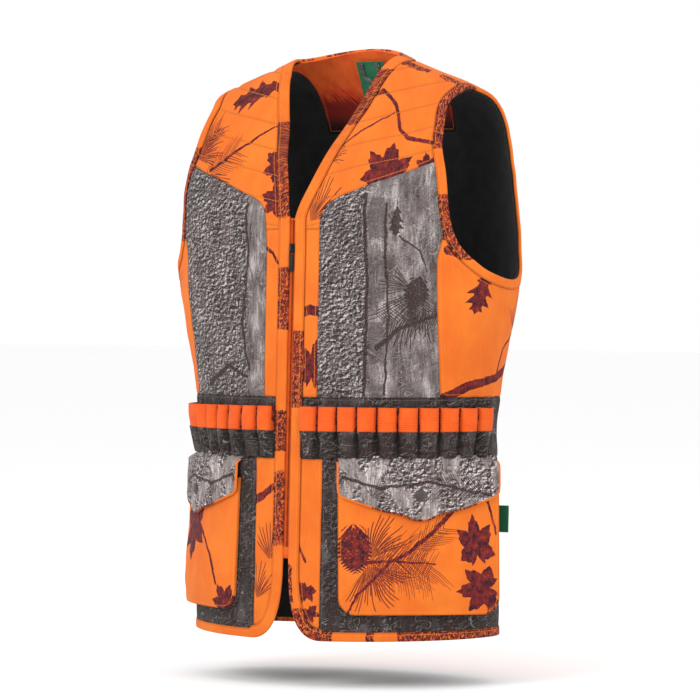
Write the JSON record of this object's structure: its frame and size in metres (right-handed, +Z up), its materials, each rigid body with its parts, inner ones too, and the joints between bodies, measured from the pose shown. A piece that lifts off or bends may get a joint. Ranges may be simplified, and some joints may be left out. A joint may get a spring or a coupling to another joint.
{
  "type": "hunting vest",
  "caption": "Sleeveless V-neck hunting vest in orange and grey camouflage cloth, with a front zip, quilted shoulder yokes, elastic cartridge loops and bellows pockets with snap flaps.",
  "frame": {"origin": "base of the wearer's neck, on the centre plane, level with the points where the shoulder seams meet the neckline", "axes": "the wearer faces -Y, the wearer's left is +X, +Z is up"},
  "size_m": [0.4916, 0.2762, 0.7575],
  "materials": {
    "orange_cloth": "matte printed brushed polyester, blaze orange with leaf and branch shapes",
    "camo_cloth": "matte printed brushed polyester, grey bark and pine print",
    "orange_binding": "folded binding tape of the orange printed cloth",
    "orange_facing": "orange printed facing inside the back neck",
    "orange_elastic": "ribbed orange elastic webbing",
    "black_lining": "black knitted mesh lining",
    "zip_tape": "woven orange zip tape",
    "zip_plastic": "moulded acetal teeth",
    "zip_metal": "black lacquered zinc",
    "pull_tab": "matte black moulded tab",
    "green_label": "woven green satin label, blank",
    "snap_cap": "snap cap lacquered in camouflage tones",
    "snap_metal": "nickelled brass snap parts"
  },
  "bodies": {
    "vest_body": {"back_yoke": "orange_cloth", "back_panel": "orange_cloth", "back_lower_panel": "orange_cloth", "left_front_yoke": "orange_cloth", "right_front_yoke": "orange_cloth", "left_centre_band": "orange_cloth", "right_centre_band": "orange_cloth", "left_lower_centre_band": "orange_cloth", "right_lower_centre_band": "orange_cloth", "left_side_panel": "orange_cloth", "right_side_panel": "orange_cloth", "left_pocket_face": "orange_cloth", "right_pocket_face": "orange_cloth", "left_chest_panel": "camo_cloth", "right_chest_panel": "camo_cloth", "left_waist_band": "camo_cloth", "right_waist_band": "camo_cloth", "left_lower_panel": "camo_cloth", "right_lower_panel": "camo_cloth", "left_cartridge_holder": "camo_cloth", "right_cartridge_holder": "camo_cloth", "left_pocket_gusset": "camo_cloth", "right_pocket_gusset": "camo_cloth", "back_hem_binding": "orange_binding", "neckline_binding": "orange_binding", "left_front_binding": "orange_binding", "right_front_binding": "orange_binding", "left_armhole_binding": "orange_binding", "right_armhole_binding": "orange_binding", "back_neck_facing": "orange_facing", "left_cartridge_elastic": "orange_elastic", "right_cartridge_elastic": "orange_elastic", "back_lining": "black_lining", "left_lining": "black_lining", "right_lining": "black_lining", "left_zip_tape": "zip_tape", "right_zip_tape": "zip_tape", "left_zip_teeth": "zip_plastic", "right_zip_teeth": "zip_plastic", "zip_top_stops": "zip_plastic", "zip_retainer_box": "zip_plastic", "zip_insertion_pin": "zip_plastic", "neck_label": "green_label", "side_label": "green_label", "left_snap_stud": "snap_metal", "right_snap_stud": "snap_metal", "left_snap_post": "snap_metal", "right_snap_post": "snap_metal"},
    "slider": {"zip_slider": "zip_metal"},
    "puller": {"zip_puller": "zip_metal", "zip_pull_tab": "pull_tab"},
    "left_flap": {"left_pocket_flap": "camo_cloth", "left_flap_piping": "orange_binding", "left_snap_cap": "snap_cap", "left_snap_socket": "snap_metal"},
    "right_flap": {"right_pocket_flap": "camo_cloth", "right_flap_piping": "orange_binding", "right_snap_cap": "snap_cap", "right_snap_socket": "snap_metal"},
    "hanger": {"hanger_loop": "camo_cloth"}
  },
  "joints": [
    {"name": "slider_travel", "type": "slide", "parent": "vest_body", "child": "slider", "axis": [0, 0.04, 0.9992], "range_m": [-0.365, 0.024]},
    {"name": "puller_swing", "type": "hinge", "parent": "slider", "child": "puller", "pos_m": [0, -0.13168, -0.24595], "axis": [-1, 0, 0], "range_deg": [0, 160]},
    {"name": "left_flap_lift", "type": "hinge", "parent": "vest_body", "child": "left_flap", "pos_m": [0.16966, -0.09534, -0.513], "axis": [-0.788, -0.6157, 0], "range_deg": [0, 120]},
    {"name": "right_flap_lift", "type": "hinge", "parent": "vest_body", "child": "right_flap", "pos_m": [-0.16966, -0.09534, -0.513], "axis": [-0.788, 0.6157, 0], "range_deg": [0, 120]},
    {"name": "hanger_loop_swing", "type": "hinge", "parent": "vest_body", "child": "hanger", "pos_m": [0, 0.04883, -0.00376], "axis": [-1, 0, 0], "range_deg": [0, 150]}
  ]
}
